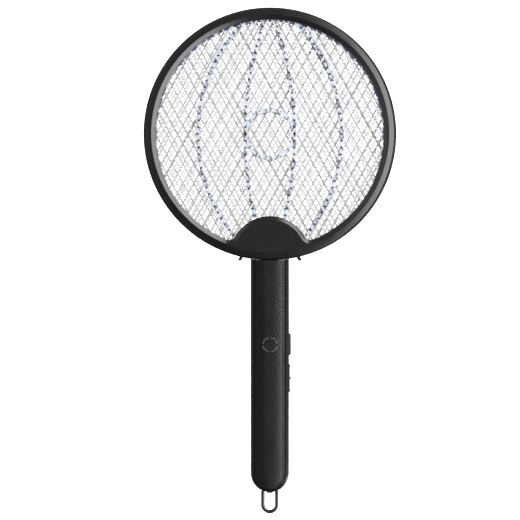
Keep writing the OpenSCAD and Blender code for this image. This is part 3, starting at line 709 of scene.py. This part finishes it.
# ---------------------------------------------------------------- slide switch
# A black bezel with a bump at each end is clipped into the side, and a ribbed knob slides up
# and down in its window, joined to the switch on the board.
bezel = bmesh.new()
add_skin(bezel, pill_rows(0, -1, 24.6, 5.4, ((0, 16.7), (0, 17.4), (0.15, 17.62), (0.4, 17.7)))
         + pill_rows(0, -1, 14.8, 3.2, ((-0.15, 17.7), (0, 17.55), (0, 14.4)))
         + pill_rows(0, -1, 20.4, 4.8, ((0, 14.4), (0, 16.7))), loop=True)
for end in (-11.05, 11.05):
    bump = []
    for cut, x in ((0, 17.3), (0.03, 17.8), (0.25, 18.08), (0.6, 18.2), (0.95, 18.22)):
        bump.append([on_handle(x, -1 + (h - end), end + (y + 1))
                     for y, h in pill(end, -1, 3.8 - 2 * cut, 2.4 - 2 * cut)])
    add_skin(bezel, bump, caps=True)
set_piece("switch_frame", "handle", bezel, [black_plastic], ["switch_bezel"])
knob = bmesh.new()
add_skin(knob, pill_rows(0, -1, 10, 5.2, ((0.15, 13), (0, 13.15), (0, 13.75), (0.15, 13.9))), caps=True)
add_skin(knob, pill_rows(0, -1, 6, 2.6, ((0, 13.9), (0, 17.3), (0.12, 17.5), (0.4, 17.6))), caps=True)
nub = []
for cut, x in ((0, 17.4), (0, 18.6), (0.18, 18.95), (0.5, 19.1)):
    nub.append([on_handle(x, -1 + h, y + 1) for y, h in pill(0, -1, 2.5 - 1.6 * cut, 1.7 - 1.6 * cut)])
add_skin(knob, nub, caps=True)
set_piece("switch_nub", "knob", knob, [black_plastic], ["switch_knob"])


# ---------------------------------------------------------------- inside the handle
# The circuit board with its parts, and the cell in its foam pads: bought-in parts that keep
# their CAD shapes and get their own finishes.
finish_cad(["button_plunger", "switch_slider", "board_chips", "tact_switch"],
           moulded("component_black", (0.010, 0.010, 0.011), 0.4, shine=0.5))
finish_cad(["slide_switch_body"], plated_steel)
finish_cad(["status_leds"], moulded("white_diode", (0.75, 0.76, 0.72), 0.3, shine=0.5))
finish_cad(["transformer_core"],
           moulded("ferrite", (0.030, 0.028, 0.027), 0.55, shine=0.4, grain=0.3, depth=0.05))
finish_cad(["transformer_coil"], moulded("winding", (0.46, 0.16, 0.045), 0.35, shine=0.5, metal=0.7))
finish_cad(["hv_capacitors"], moulded("capacitor_film", (0.24, 0.055, 0.012), 0.3, shine=0.5))
finish_cad(["battery"], moulded("cell_wrap", (0.030, 0.13, 0.30), 0.28, shine=0.5))
finish_cad(["battery_pads"], moulded("foam", (0.085, 0.085, 0.09), 0.9, shine=0.1, grain=0.8, depth=0.2))


# ---------------------------------------------------------------- hanging loop
# A stiff loop of black coated wire, bent in one piece. Its top bar turns in a saddle inside the
# handle's end, so the loop swings to the front and the back.
loop_black = moulded("loop_black", (0.0018, 0.0018, 0.0020), 0.3, shine=0.3)
finish_cad(["loop_saddle"], black_plastic, 0.25)
LOOP_X, BAR_UP, ARC_UP, BEND, WIRE_R = 6.15, -98.4, -111.8, 2.5, 1.75
path = []
for a in np.radians(np.linspace(90, 0, 9)):
    path.append((LOOP_X - BEND + BEND * math.cos(a), BAR_UP - BEND + BEND * math.sin(a)))
for t in np.linspace(0, 1, 8)[1:-1]:
    path.append((LOOP_X, BAR_UP - BEND + (ARC_UP - BAR_UP + BEND) * t))
for a in np.radians(np.linspace(0, -180, 33)):
    path.append((LOOP_X * math.cos(a), ARC_UP + LOOP_X * math.sin(a)))
for t in np.linspace(1, 0, 8)[1:-1]:
    path.append((-LOOP_X, BAR_UP - BEND + (ARC_UP - BAR_UP + BEND) * t))
for a in np.radians(np.linspace(180, 90, 9)):
    path.append((-LOOP_X + BEND + BEND * math.cos(a), BAR_UP - BEND + BEND * math.sin(a)))
path = np.array(path)
ways = np.roll(path, -1, 0) - np.roll(path, 1, 0)
ways /= np.linalg.norm(ways, axis=1)[:, None]
loop_mesh = bmesh.new()
add_skin(loop_mesh, [[on_handle(p[0] + WIRE_R * math.cos(a) * -w[1], WIRE_R * math.sin(a),
                                p[1] + WIRE_R * math.cos(a) * w[0])
                      for a in np.linspace(0, 2 * math.pi, 20, endpoint=False)]
                     for p, w in zip(path, ways)], loop=True)
set_piece("wire_loop", "loop", loop_mesh, [loop_black], ["hanging_loop"], sharp=60)


# ---------------------------------------------------------------- floor, light and camera
# A plain white floor that curves up into a white wall all round. It shows to the camera alone; the
# object reflects a grey surround that is darker below and behind, one tall soft light on the
# right, a weak one on the left and two behind.
floor_mesh = bmesh.new()
floor_profile = ((1, -0.145), (7, -0.145), (7.6, 0), (7.9, 0.5), (8, 1.5), (8, 9))
add_skin(floor_mesh, [[(r * math.cos(a), r * math.sin(a), z)
                       for a in np.linspace(0, 2 * math.pi, 48, endpoint=False)]
                      for r, z in floor_profile], caps=True)
floor_data = bpy.data.meshes.new("floor")
floor_mesh.to_mesh(floor_data)
floor_mesh.free()
floor = bpy.data.objects.new("floor", floor_data)
bpy.context.scene.collection.objects.link(floor)
floor_white = moulded("white_floor", (0.9, 0.9, 0.9), 0.8, shine=0.1, grain=2, depth=0.01, uneven=0.01)
make_glow(floor_white, (1, 1, 1), 1.0)
floor_data.materials.append(floor_white)
floor.visible_glossy = False
floor.visible_diffuse = False
floor.visible_shadow = False

surround = bpy.data.worlds.new("surround")
surround.use_nodes = True
sky_nodes, sky_links = surround.node_tree.nodes, surround.node_tree.links
toward = sky_nodes.new("ShaderNodeTexCoord")
parts = sky_nodes.new("ShaderNodeSeparateXYZ")
both = sky_nodes.new("ShaderNodeMath")
both.operation = "MULTIPLY"
sky_links.new(toward.outputs["Generated"], parts.inputs["Vector"])
darker_ways = (("Z", -0.5, 0.1, 0.3, 1), ("Y", 0.0, 0.8, 0.78, 0.2))
for slot, (axis, start, end, low, high) in enumerate(darker_ways):
    shade = sky_nodes.new("ShaderNodeMapRange")
    shade.interpolation_type = "SMOOTHSTEP"
    shade.inputs["From Min"].default_value = start
    shade.inputs["From Max"].default_value = end
    shade.inputs["To Min"].default_value = low
    shade.inputs["To Max"].default_value = high
    sky_links.new(parts.outputs[axis], shade.inputs["Value"])
    sky_links.new(shade.outputs["Result"], both.inputs[slot])
sky_links.new(both.outputs["Value"], sky_nodes["Background"].inputs["Strength"])
sky_nodes["Background"].inputs["Color"].default_value = (1, 1, 1, 1)
bpy.context.scene.world = surround


def soft_light(name, azimuth, up, distance, width, height, watts, dip=0):
    """A soft light that faces the object, dip degrees down; azimuth 0 is at the camera."""
    data = bpy.data.lights.new(name, "AREA")
    data.shape = "RECTANGLE"
    data.size, data.size_y, data.energy = width, height, watts
    lamp = bpy.data.objects.new(name, data)
    bpy.context.scene.collection.objects.link(lamp)
    a = math.radians(azimuth)
    lamp.location = (distance * math.sin(a), -distance * math.cos(a), up)
    lamp.rotation_euler = (math.radians(90 - dip), 0, a)
    return lamp


soft_light("right_softbox", 52, 0.6, 2.2, 1.35, 8.0, 680)
soft_light("left_fill", -64, 0.1, 2.2, 1.0, 6.0, 40)
soft_light("rear_high", 190, 1.9, 1.7, 2.0, 1.2, 22, dip=45)
soft_light("rear_low", 135, -0.85, 2.0, 2.0, 0.8, 14, dip=-20)

camera_data = bpy.data.cameras.new("camera")
camera_data.lens = 125.4
camera_data.sensor_width = 36
camera_data.clip_start = 0.05
camera = bpy.data.objects.new("camera", camera_data)
camera.location = (-0.0087, -1.6, 0.1043)
camera.rotation_euler = (math.radians(90), 0, 0)
bpy.context.scene.collection.objects.link(camera)
bpy.context.scene.camera = camera
bpy.context.scene.view_settings.view_transform = "Standard"
